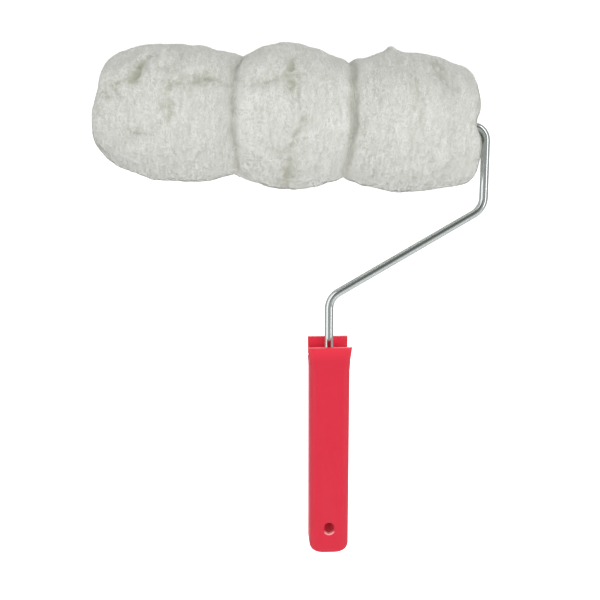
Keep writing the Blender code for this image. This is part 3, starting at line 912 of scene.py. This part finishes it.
def crease_effect(along, angle, wander, fade):
    """Groove depth (mm), root tint with painted shade (0 to 1) and the push away from the nearest
    crease.
    """
    depth = np.zeros(along.shape)
    root_tint_and_shade = np.zeros(along.shape)
    push = np.zeros(along.shape + (2,))
    for width, deep, tint_and_shade_share, points in CREASES:
        spans = [math.hypot(a1 - a0, math.radians(t1 - t0) * CREASE_RADIUS)
                 for (a0, t0), (a1, t1) in zip(points, points[1:])]
        gone = 0.0
        for (a0, t0), (a1, t1), span in zip(points, points[1:], spans):
            turned = turn_from(angle, (t0 + t1) / 2)
            place = np.stack([along, turned * CREASE_RADIUS], axis=-1) + wander
            half_turn = math.radians((t1 - t0) / 2) * CREASE_RADIUS
            start, end = np.array((a0, -half_turn)), np.array((a1, half_turn))
            line = end - start
            share = np.clip((place - start) @ line / (line @ line), 0.0, 1.0)
            gap = place - start - share[..., None] * line
            distance = np.linalg.norm(gap, axis=-1)
            run = (gone + share * span) / sum(spans)
            here = fade * np.sqrt(np.sin(math.pi * np.clip(run, 0.04, 0.96)))
            valley = 0.6 * bell(distance, 2.2 * width)
            parting = 0.25 * here * bell(distance, 0.9 * width)
            depth = np.maximum(depth, deep * (valley * (0.4 + 0.6 * here) + parting))
            # The root tint also carries painted shade, darker across the groove and wider than it.
            tint_and_shade_profile = 0.42 * bell(distance, 0.8 * width) + 0.36 * bell(distance, 2.4 * width)
            root_tint_and_shade = np.maximum(root_tint_and_shade, tint_and_shade_share * here * tint_and_shade_profile)
            outward = gap / np.maximum(distance, 1e-3)[..., None]
            push += outward * (deep * bell(distance, 2 * width))[..., None]
            gone += span
    return depth, root_tint_and_shade, push


# %% [markdown]
# ### The skin under the fibres
# The skin is a grid: steps along the outline one way and steps round the axle the other. Each
# point is moved along its own outward direction by the sum of the big lumps, the smaller puffs,
# the creases and the fine strands. The strands are noise squeezed along the axle, so that they
# grow long the way that rolling combs them. The form without its strands is kept as well, because
# the fibres take their shading from that calmer surface.

# %% Mounds and dents
MOUNDS = [
    # along, angle, spread along, spread round (mm), height
    (39.4, 93, 3.2, 5, 3), (36.5, 90, 9, 14, 1.2), (-42, 88, 13, 30, 1.8),
    (-28, -80, 14, 30, -0.9), (-115, 90, 26, 30, 0.7),
    (62, 85, 14, 26, 1.4), (82, -80, 9, 25, 1.9), (96, -70, 9, 28, 2.2),
    (-161.5, 100, 4.5, 26, -6.4), (-149, 100, 9, 34, 1),
    (-152, -70, 8, 20, -1.2), (104, 103, 7, 42, -5.6), (101, 6, 7, 8.5, -5),
    (97, -45, 8, 30, 0.8), (101, 186, 6, 9, -2.6),
    (-139, 45, 7, 9, 1.3), (-130, 36, 5, 7, -1.6), (-118, 44, 6, 9, 1.4),
    (-113, 66, 3.4, 12, 1.3), (-101, 60, 3.6, 14, -1.2), (-86, 50, 9, 9, 1.3),
    (-84, 34, 14, 4, -1.1), (-96, 12, 8, 16, 1.2), (-121, 10, 9, 18, 1),
    (-138, -10, 6, 10, 0.9), (-130, -17, 5, 5, -1.1), (-80, 5, 7, 22, 0.8),
    (-46, 48, 7, 9, 1.2), (-12, 50, 7, 10, 1.2), (-40, 14, 8, 13, 1.2),
    (-14, 14, 7, 13, 1), (-27, 44, 3.6, 8, -1.3), (-24, -34, 7, 9, 1),
    (36, 26, 8, 16, 1), (66, 18, 8, 16, 1.1), (50, 52, 5, 10, -1.2),
    (76, 48, 6, 9, -1.5), (88, 40, 6, 9, 1), (24, 48, 6, 11, -0.8),
]
DEEPEST_DENT = -5.2
MOUTH_CALM = (2.5, 4.0)


def mound_heights(along, angle, radius, from_lip):
    """The listed mounds and dents, which die away at the mouths of the cover."""
    total = np.zeros(along.shape)
    for centre, degrees, spread, spread_round, height in MOUNDS:
        around = turn_from(angle, degrees) * radius
        total += height * np.exp(-(((along - centre) / spread) ** 2 + (around / spread_round) ** 2))
    start, length = MOUTH_CALM
    return np.maximum(total, DEEPEST_DENT) * np.clip((from_lip - start) / length, 0.0, 1.0)


# %% Waists
WAIST_REACH = 10.0
WAIST_SHIFTS = (
    # for each waist: angle, spread (degrees), shift (mm)
    ((18.0, 46.0, -5.4), (98.0, 24.0, 1.8), (-85.0, 30.0, -1.4)),
    ((18.0, 40.0, 1.6), (-70.0, 30.0, -1.2)),
)
WAIST_TIGHTNESS = (0.8, 1.35)
PINCH_WIDTH = 2.4
# Painted shade along each sewn waist, added to the root tint.
WAIST_PAINTED_SHADE = 0.30
WAIST_PAINTED_SHADE_WIDTH = 2.6


def waist_wander(along, angle):
    """Each sewn waist strays from side to side as it goes round; both bands follow it."""
    moved = np.zeros(np.broadcast(along, angle).shape)
    for number, waist in enumerate(WAISTS):
        wave = 0.5 * np.sin(5 * angle + 2.1 * number) + 0.35 * np.sin(11 * angle + 0.7 + number)
        for degrees, spread, shift in WAIST_SHIFTS[number]:
            wave = wave + shift * bell(turn_from(angle, degrees), math.radians(spread))
        moved = moved + wave * bell(along - waist, WAIST_REACH)
    return moved


# %% Skin form
STEPS_ROUND = 370
STEPS_ALONG = 620
COMBED = np.array((1.0, 0.28, 0.28))
FOLDED = np.array((1.0, 0.35, 0.35))


def waver(place, seed):
    """How far a crease strays from its line, in mm."""
    return 2.2 * layered_noise(place, 9.0, seed) + 0.8 * soft_noise(place, 2.5, seed + 6)


def cover_form():
    """The cover's outer surface as a grid of points, with its normals, root tint with painted shade,
    and pushes.
    """
    travelled, along_line, radius_line = smooth_outline(OUTLINE)
    steps = np.linspace(0.0, travelled[-1], STEPS_ALONG)
    along_line = np.interp(steps, travelled, along_line)
    radius_line = np.interp(steps, travelled, radius_line)
    out_along = -np.gradient(radius_line, steps)[:, None]
    out_radius = np.gradient(along_line, steps)[:, None]
    angle_line = np.linspace(0.0, TWO_PI, STEPS_ROUND, endpoint=False)
    along, angle = np.meshgrid(along_line, angle_line, indexing="ij")
    radius = np.repeat(radius_line[:, None], STEPS_ROUND, axis=1)
    place = np.stack([along, radius * np.cos(angle), radius * np.sin(angle)], axis=-1)

    wander = np.stack([waver(place, 61), waver(place, 71)], axis=-1)
    fade = np.clip(0.85 + 1.0 * layered_noise(place, 7.0, 53, 2), 0.35, 1.25)
    depth, root_tint_and_shade, push = crease_effect(along, angle, wander, fade)
    from_lip = np.minimum(steps, steps[-1] - steps)[:, None]
    mounds = mound_heights(along, angle, radius, from_lip)
    to_waist = np.minimum.reduce([np.abs(along - waist) for waist in WAISTS])
    calm = 0.35 + 0.65 * (1 - bell(to_waist, 5.0))
    mouth = np.clip((radius - 12.0) / 10.0, 0.25, 1.0)
    lumps = 1.2 * layered_noise(place, 26.0, 11, 2) + 0.75 * layered_noise(place, 11.0, 23, 2)
    folds = 0.75 * layered_noise(place * FOLDED, 8.0, 29, 2)
    tightness = np.where(along > 0.5 * sum(WAISTS), WAIST_TIGHTNESS[1], WAIST_TIGHTNESS[0])
    pinch = (0.4 + 2.0 * np.cos(angle - 0.4) ** 2) * (1 + 0.6 * soft_noise(place, 11.0, 19))
    gather = pinch * tightness * bell(to_waist, PINCH_WIDTH)
    soft = (lumps + folds) * calm * mouth + mounds - depth * mouth - gather

    combed = place * COMBED
    combed[..., 0] += 0.4 * wander[..., 0]
    strands = 0.30 * layered_noise(combed, 2.2, 41, 2) + 0.12 * soft_noise(place, 0.9, 43)
    strands *= calm * mouth

    def surface(relief):
        far_along = along + relief * out_along + waist_wander(along, angle)
        return round_axle(far_along * MM, (radius + relief * out_radius) * MM, angle)

    points = surface(soft + strands)
    # The root tint holds painted shade from the creases and along the waists.
    return {
        "steps": steps, "along": along_line, "radius": radius_line, "angle": angle_line,
        "points": points, "normals": grid_normals(points), "calm_normals": calm_normals(
            grid_normals(surface(soft))),
        "root_tint_and_shade": root_tint_and_shade + WAIST_PAINTED_SHADE * tightness * bell(to_waist, WAIST_PAINTED_SHADE_WIDTH),
        "push": push, "strands": strands / 0.3,
    }


def grid_normals(points):
    """Outward normals of a grid that closes on itself the second way."""
    down = np.gradient(points, axis=0)
    wrapped = np.concatenate([points[:, -1:], points, points[:, :1]], axis=1)
    across = (wrapped[:, 2:] - wrapped[:, :-2]) / 2
    return unit(np.cross(across, down))


def unit(vectors):
    return vectors / np.maximum(np.linalg.norm(vectors, axis=-1, keepdims=True), 1e-12)


def calm_normals(normals, passes=5):
    """Normals averaged with their neighbours, as light inside wool averages its surface."""
    for _ in range(passes):
        padded = np.concatenate([normals[:1], normals, normals[-1:]])
        normals = (padded[:-2] + normals + padded[2:]) / 3
        normals = (np.roll(normals, 1, axis=1) + normals + np.roll(normals, -1, axis=1)) / 3
    return unit(normals)


# %% [markdown]
# ### From grid to closed bands
# Each band takes its own rows of the grid and is closed with a plain lining back along the hide,
# so that every band is one solid piece, as a real skin with its pile is.

# %% Closed skins
BANDS = ("left", "middle", "right")
SEW_GAP = 0.05
LINING_RADIUS = 26.6
WAIST_LINING = 30.0
WAIST_LINING_TOP = 37.0
MOUTH_LINING = 16.0
MIDDLE_REACH = 90.0
LINING_SHADE = 0.5
SKIN_SHADE = 0.30
STRAND_SHADE = 0.22
core_left, core_right = (end / MM for end in place_on_axle("core_tube"))


def new_mesh(name, points, corners, sizes):
    """A mesh straight from arrays of points, of face corners and of face sizes."""
    mesh = bpy.data.meshes.new(name)
    mesh.vertices.add(len(points))
    mesh.vertices.foreach_set("co", points.astype(np.float32).ravel())
    mesh.loops.add(len(corners))
    mesh.loops.foreach_set("vertex_index", corners.astype(np.int32))
    mesh.polygons.add(len(sizes))
    starts = np.concatenate([[0], np.cumsum(sizes)[:-1]])
    mesh.polygons.foreach_set("loop_start", starts.astype(np.int32))
    mesh.update(calc_edges=True)
    mesh.shade_smooth()
    return mesh


def store(mesh, name, values):
    """Keeps one number per point on a mesh, for its finish to read."""
    attribute = mesh.attributes.new(name, "FLOAT", "POINT")
    attribute.data.foreach_set("value", values.astype(np.float32).ravel())


def lining(index):
    """The rings that close a band behind its pile, as (along, radius), from its right end back."""
    rings = []
    if index == 2:
        rings += [(core_right + 0.4, MOUTH_LINING), (core_right + 0.4, LINING_RADIUS)]
    else:
        edge = WAISTS[index] - SEW_GAP
        rings += [(edge, WAIST_LINING_TOP), (edge, WAIST_LINING), (edge - 4.0, LINING_RADIUS)]
    if index == 0:
        rings += [(core_left - 0.4, LINING_RADIUS), (core_left - 0.4, MOUTH_LINING)]
    else:
        edge = WAISTS[index - 1] + SEW_GAP
        rings += [(edge + 4.0, LINING_RADIUS), (edge, WAIST_LINING), (edge, WAIST_LINING_TOP)]
    return rings


def band_rows(form, index):
    """The first and last row of the grid that belong to a band."""
    edges = [form["along"].min() - 1.0, *WAISTS, form["along"].max() + 1.0]
    rows = np.arange(STEPS_ALONG)
    after = form["along"] > edges[index] + 2 * SEW_GAP
    before = form["along"] < edges[index + 1] - 2 * SEW_GAP
    inside = rows[after & before]
    return inside[0], inside[-1] + 1


def ring_at(form, along):
    """The ring of surface points at a place along the axle, for the sewn edge of a band."""
    middle = np.abs(form["along"]) < MIDDLE_REACH
    row = np.interp(along, form["along"][middle], np.flatnonzero(middle))
    low = int(row)
    share = row - low
    return (form["points"][low] * (1 - share) + form["points"][low + 1] * share)[None]


def build_skin(form, index, material):
    """One band's closed skin, with the shade that its finish reads."""
    first, last = band_rows(form, index)
    rings = [form["points"][first:last]]
    if index < 2:
        rings.append(ring_at(form, WAISTS[index] - SEW_GAP))
    if index > 0:
        rings.insert(0, ring_at(form, WAISTS[index - 1] + SEW_GAP))
    for along, radius in lining(index):
        moved = along + waist_wander(np.full(STEPS_ROUND, along), form["angle"])
        rings.append(round_axle(moved * MM, np.full(STEPS_ROUND, radius) * MM, form["angle"])[None])
    points = np.concatenate(rings)
    row, column = np.meshgrid(np.arange(len(points)), np.arange(STEPS_ROUND), indexing="ij")
    next_row, next_column = (row + 1) % len(points), (column + 1) % STEPS_ROUND
    corners = np.stack([
        row * STEPS_ROUND + column, row * STEPS_ROUND + next_column,
        next_row * STEPS_ROUND + next_column, next_row * STEPS_ROUND + column,
    ], axis=-1).reshape(-1, 4)
    name = "wool_" + BANDS[index]
    mesh = new_mesh(name, points.reshape(-1, 3), corners.ravel(), np.full(len(corners), 4))
    shade = np.full(points.shape[:2], LINING_SHADE)
    start = min(index, 1)
    shade[start:start + last - first] = np.clip(
        SKIN_SHADE - STRAND_SHADE * form["strands"][first:last] + form["root_tint_and_shade"][first:last],
        0.0, 1.0)
    store(mesh, "root_tint_and_shade", shade)
    return dress(link_object(name, mesh), material, "cover", "wool", "pile_" + BANDS[index])


# %% [markdown]
# ### The finish of wool
# Bleached wool is a warm, slightly grey white. It is brightest at the tips and dull yellow at the
# roots, and it never shines: all it has is a faint sheen where the light grazes it. The mix towards
# the root colour also paints shade into creases, along the waists, between locks and deep in the pile.

# %% Wool finish
WOOL_TIP = (0.80, 0.80, 0.785, 1.0)
WOOL_SHADE = (0.71, 0.72, 0.70, 1.0)
# Root colour with painted shade: the roots' own yellow, darkened as shade among the fibres would
# darken it.
WOOL_ROOT_IN_SHADE = (0.45, 0.455, 0.38, 1.0)


def wool_finish(name, relief):
    material, tree, shader = new_finish(name, 0.95)
    shader.inputs["Specular IOR Level"].default_value = 0.15
    shader.inputs["Sheen Weight"].default_value = 0.2
    shader.inputs["Sheen Roughness"].default_value = 0.6
    drift = use_group(tree, tone_drift, Colour=WOOL_TIP, Other_colour=WOOL_SHADE,
                      Patch_size=45.0, Amount=1.0)
    # The attribute mixes towards the root colour: the roots' own yellow plus painted shade in creases,
    # along waists, between locks and deep in the pile.
    root_tint_and_shade = tree.nodes.new("ShaderNodeAttribute")
    root_tint_and_shade.attribute_name = "root_tint_and_shade"
    tree.links.new(
        blend_colours(tree, root_tint_and_shade.outputs["Fac"], drift.outputs["Colour"], WOOL_ROOT_IN_SHADE),
        shader.inputs["Base Color"])
    grain = use_group(tree, fine_grain, Stretch=(2.0, 1.0, 1.0), Grains=700.0, Roughness=0.95,
                      Spread=0.1)
    tree.links.new(grain.outputs["Roughness"], shader.inputs["Roughness"])
    relief_on(tree, shader, grain.outputs["Height"], relief, 0.2 * MM)
    return material


wool_skin = wool_finish("wool_skin", 0.4)
wool_fibre = wool_finish("wool_fibre", 0.1)

# %% [markdown]
# ### The coat of fibres
# Each fibre is a thin tapering blade of three triangles that leaves the skin and then lies over.
# Rolling combs wool round the cover, so fibres lie mostly round the axle, swirled by slow noise,
# pushed away from creases, and drawn together sideways into locks. Their shading is tied to
# the calm surface below them, which keeps the mass soft instead of glittering.

# %% Fibres
FIBRE_COUNTS = (62000, 42000, 60000)
FIBRE_LAY = (4.5, 8.5)
FIBRE_LIFT = (0.35, 1.25)
FIBRE_HALF_WIDTH = 0.11
STRAY_SHARE = 0.18
STRAY_LIFT = (0.2, 1.7)
# Root tint at a blade's five points, root to tip: the roots' own yellow plus painted shade deep in the
# pile.
BLADE_ROOT_TINT_AND_SHADE = np.array((0.55, 0.55, 0.22, 0.22, 0.0))
LOCK_SIZE = 3.6
LOCK_SEED = 31


def nearest_lock(points, size, seed):
    """The vector to the middle of the nearest lock of wool, and a number for that lock."""
    base = np.floor(points / size).astype(np.int64)
    nearest = np.full(points.shape[:-1], np.inf)
    vector = np.zeros(points.shape)
    number = np.zeros(points.shape[:-1])
    for shift in np.ndindex(3, 3, 3):
        cell = base + np.array(shift) - 1
        jitter = np.stack([cell_number(cell, seed + axis) for axis in range(3)], axis=-1)
        toward = (cell + jitter) * size - points
        distance = np.linalg.norm(toward, axis=-1)
        closer = distance < nearest
        nearest = np.where(closer, distance, nearest)
        vector = np.where(closer[..., None], toward, vector)
        number = np.where(closer, cell_number(cell, seed + 5), number)
    return nearest, vector, number


def sample_grid(grid, row, column):
    """Values of a grid at fractional rows and columns; columns wrap round."""
    row = np.clip(row, 0.0, len(grid) - 1.001)
    row_low = np.floor(row).astype(int)
    column_low = np.floor(column).astype(int)
    u = (row - row_low).reshape((-1,) + (1,) * (grid.ndim - 2))
    v = (column - column_low).reshape(u.shape)
    left, right = column_low % grid.shape[1], (column_low + 1) % grid.shape[1]
    return ((grid[row_low, left] * (1 - u) + grid[row_low + 1, left] * u) * (1 - v)
            + (grid[row_low, right] * (1 - u) + grid[row_low + 1, right] * u) * v)


def build_fibres(form, index, material, seed):
    """One band's coat of fibres, rooted in its skin."""
    random = np.random.default_rng(seed)
    count = FIBRE_COUNTS[index]
    first, last = band_rows(form, index)
    weight = np.cumsum(form["radius"][first:last])
    weight = (weight - weight[0]) / (weight[-1] - weight[0])
    row = first + np.interp(random.random(count), weight, np.arange(len(weight)))
    column = random.random(count) * STEPS_ROUND
    root = sample_grid(form["points"], row, column)
    normal = unit(sample_grid(form["normals"], row, column))
    calm = unit(sample_grid(form["calm_normals"], row, column))
    step_mm = form["steps"][1] - form["steps"][0]
    out = np.interp(row, np.arange(STEPS_ALONG), form["radius"])
    spot = (root - AXLE_CENTRE) / MM
    swirl = 1.5 * layered_noise(spot, 30.0, 83, 2) + 0.5 * layered_noise(spot, 8.0, 97, 2)
    swirl += random.normal(0.0, 0.16, count)
    push = sample_grid(form["push"], row, column)
    lay = random.uniform(*FIBRE_LAY, count)
    go_along = np.sin(swirl) + 0.35 * push[:, 0]
    go_round = -np.cos(swirl) + 0.35 * push[:, 1]
    length = np.maximum(np.hypot(go_along, go_round), 1e-6)
    go_along, go_round = go_along / length * lay, go_round / length * lay

    def at(share, height):
        """Points of the fibres a share of the way along their lay, at a height off the skin."""
        r = row + go_along * share / step_mm
        c = column + go_round * share / np.maximum(out, 9.0) * STEPS_ROUND / TWO_PI
        place = sample_grid(form["points"], r, c)
        upward = unit(sample_grid(form["normals"], r, c))
        return place + upward * (height * MM)[:, None], upward

    strays = random.random(count) < STRAY_SHARE
    lift = random.uniform(*FIBRE_LIFT, count)
    lift = np.where(strays, lift + random.uniform(*STRAY_LIFT, count), lift)
    tip, tip_normal = at(1.0, lift)
    near, toward, lock = nearest_lock((tip - AXLE_CENTRE) / MM, LOCK_SIZE, LOCK_SEED)
    heading = unit(tip - root)
    toward -= (toward * tip_normal).sum(axis=-1, keepdims=True) * tip_normal
    toward -= 0.8 * (toward * heading).sum(axis=-1, keepdims=True) * heading
    gather = np.where(strays, 0.1, 0.55)[:, None]
    tip = tip + toward * gather * MM
    middle = at(0.4, lift * 0.75)[0] + toward * gather * 0.35 * MM
    base = root - normal * 0.3 * MM
    direction = unit(tip - base)
    side = unit(np.cross(direction, normal))
    side = unit(side + normal * random.normal(0.0, 0.3, count)[:, None])
    half = (FIBRE_HALF_WIDTH * random.uniform(0.7, 1.3, count) * MM)[:, None]
    blades = np.stack([
        base - side * half, base + side * half,
        middle - side * half * 0.8, middle + side * half * 0.8, tip,
    ], axis=1)
    start = np.arange(count)[:, None] * 5
    corners = np.concatenate([start + [0, 1, 3, 2], start + [2, 3, 4]], axis=1).ravel()
    name = "wool_fibres_" + BANDS[index]
    mesh = new_mesh(name, blades.reshape(-1, 3), corners, np.tile([4, 3], count))
    lean = np.stack([np.sin(lock * turns) for turns in (40.0, 57.0, 83.0)], axis=-1)
    shade = unit(calm + 0.12 * lean + 0.15 * normal + random.normal(0.0, 0.05, (count, 3)))
    mesh.normals_split_custom_set_from_vertices(np.repeat(shade, 5, axis=0))
    root_tint_and_shade = sample_grid(form["root_tint_and_shade"], row, column)
    # A blade's root tint: a random tone per lock, painted shade away from a lock's middle, and the
    # painted crease and waist shade of the skin below.
    fibre_tint_and_shade = BLADE_ROOT_TINT_AND_SHADE + (0.22 * (lock - 0.3) + 0.10 * (near / LOCK_SIZE) + 0.8 * root_tint_and_shade)[:, None]
    store(mesh, "root_tint_and_shade", np.clip(fibre_tint_and_shade, 0.0, 1.0))
    return dress(link_object(name, mesh), material, "cover", "wool")


form = cover_form()
for index, band in enumerate(BANDS):
    skin = build_skin(form, index, wool_skin)
    fibres = build_fibres(form, index, wool_fibre, 100 + index)
    print(band, "band:", len(skin.data.polygons), "skin faces,",
          len(fibres.data.polygons) // 2, "fibres")
